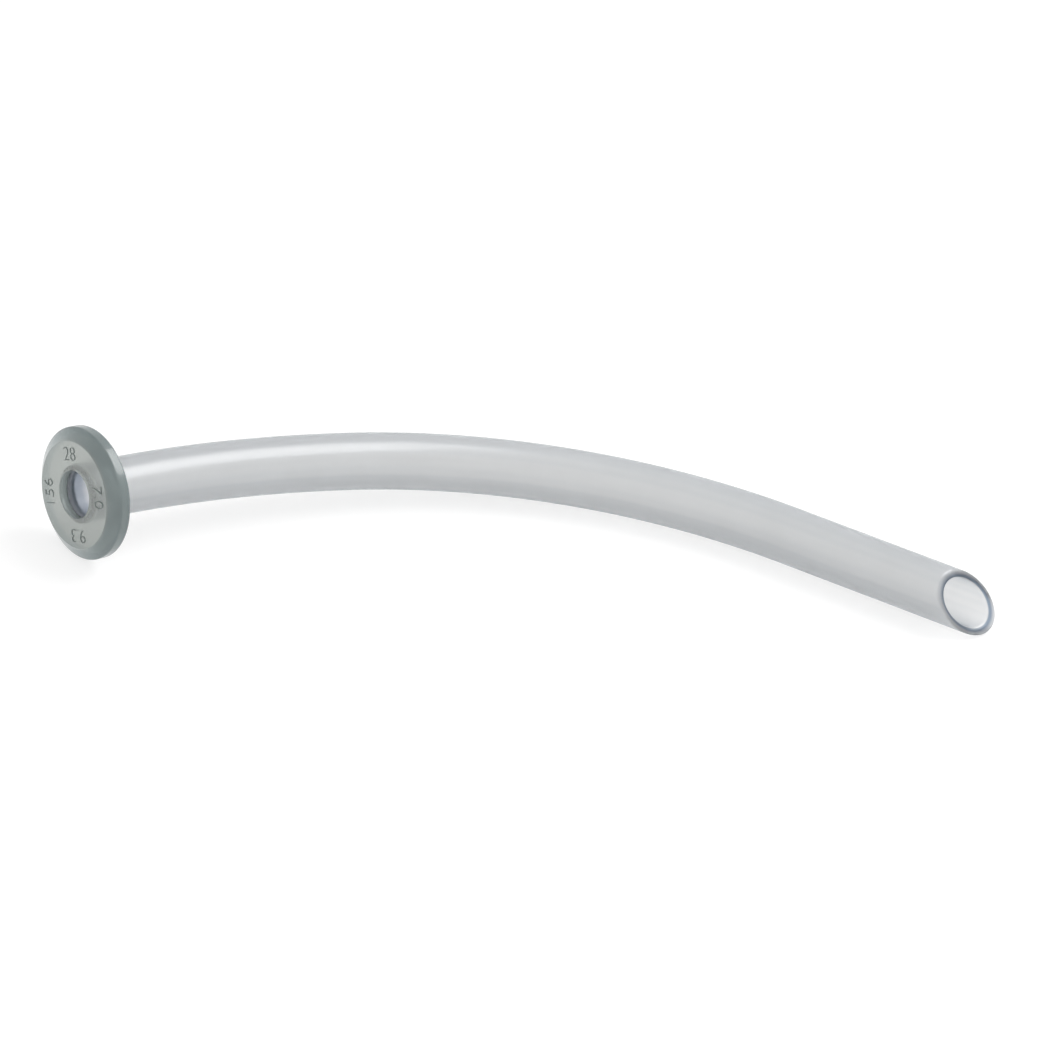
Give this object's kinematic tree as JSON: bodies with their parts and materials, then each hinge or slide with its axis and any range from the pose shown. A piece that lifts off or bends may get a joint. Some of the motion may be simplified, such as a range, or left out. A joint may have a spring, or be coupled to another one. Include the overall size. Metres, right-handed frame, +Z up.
{
  "type": "nasopharyngeal airway",
  "caption": "Soft clear arched tube with a slanted, rounded tip, bonded into a bevelled disc flange that stops it at the nostril.",
  "frame": {"origin": "under the middle of the part's box, on the table that it lies on", "axes": "+X from the flange towards the tube, level, +Y to the outside of the arch, +Z up from the table"},
  "size_m": [0.1202, 0.1002, 0.0214],
  "materials": {
    "tube": "clear soft PVC, slightly milky, smooth",
    "flange": "thick clear grey-green PVC, smooth"
  },
  "bodies": {
    "root": {"airway_tube": "tube", "flange": "flange"}
  },
  "joints": []
}
